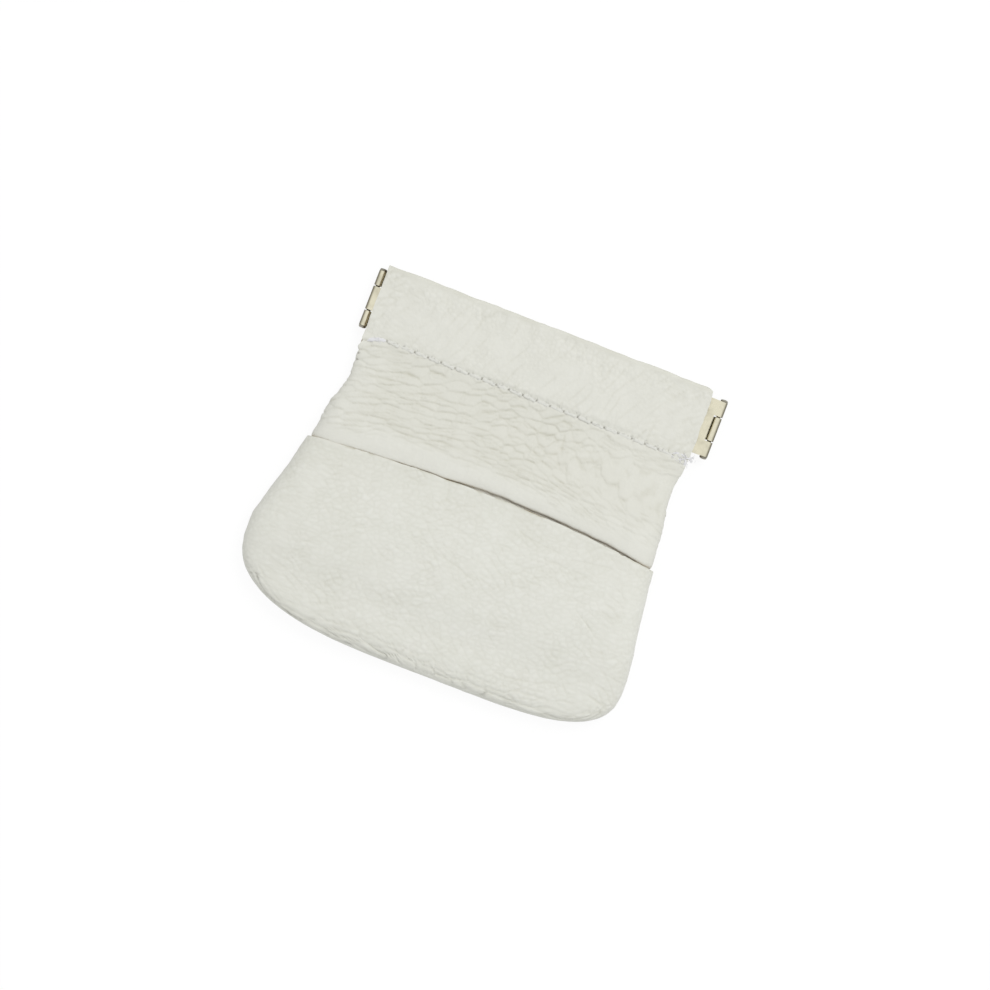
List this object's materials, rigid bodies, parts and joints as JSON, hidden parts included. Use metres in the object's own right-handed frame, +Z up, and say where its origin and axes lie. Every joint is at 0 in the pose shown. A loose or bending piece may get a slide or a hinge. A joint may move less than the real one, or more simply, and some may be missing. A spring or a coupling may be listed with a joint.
{
  "type": "squeeze coin purse",
  "caption": "Flat leather coin purse with a slip pocket on its front and a squeeze frame of hinged spring strips in its mouth, lying on its back.",
  "frame": {"origin": "middle of the purse's outline, on the surface that it lies on", "axes": "+X along the mouth to the right as seen from the pocket's side, +Y from the bottom seam towards the mouth, +Z up out of the pocket's face"},
  "size_m": [0.099, 0.0896, 0.0084],
  "materials": {
    "leather": "off-white pebbled leather, matt",
    "pocket_leather": "off-white pebbled leather, matt",
    "spring_steel": "rolled spring steel, pale champagne plating",
    "pin_steel": "peened pin, pale plating",
    "thread": "white sewing thread"
  },
  "bodies": {
    "pouch": {"back_panel": "leather", "front_panel": "leather", "pocket_panel": "pocket_leather", "front_casing_stitching": "thread", "back_casing_stitching": "thread", "seam_stitching": "thread"},
    "back_left": {"back_strip_left": "spring_steel", "left_hinge_pin": "pin_steel"},
    "back_right": {"back_strip_right": "spring_steel", "right_hinge_pin": "pin_steel"},
    "front_left": {"front_strip_left": "spring_steel"},
    "front_right": {"front_strip_right": "spring_steel"}
  },
  "joints": [
    {"name": "squeeze", "type": "hinge", "parent": "pouch", "child": "back_left", "pos_m": [0.00323, 0.03585, 0.00148], "axis": [0, 1, 0], "range_deg": [0, 22], "stiffness_Nm_per_rad": 0.05, "springref_deg": -5.73, "deforming": ["front_panel", "back_panel"]},
    {"name": "back_strip_bow", "type": "hinge", "parent": "back_left", "child": "back_right", "pos_m": [0.00323, 0.03585, 0.00148], "axis": [0, 1, 0], "range_deg": [-44, 0]},
    {"name": "left_pin_turn", "type": "hinge", "parent": "back_left", "child": "front_left", "pos_m": [-0.0408, 0.03585, 0.00246], "axis": [0, 1, 0], "range_deg": [-44, 0]},
    {"name": "front_strip_bow", "type": "hinge", "parent": "front_left", "child": "front_right", "pos_m": [0.00323, 0.03585, 0.00344], "axis": [0, 1, 0], "range_deg": [0, 44]}
  ],
  "couplings": [
    {"joint": "back_strip_bow", "follows": "squeeze", "ratio": -2},
    {"joint": "left_pin_turn", "follows": "squeeze", "ratio": -2},
    {"joint": "front_strip_bow", "follows": "squeeze", "ratio": 2}
  ]
}
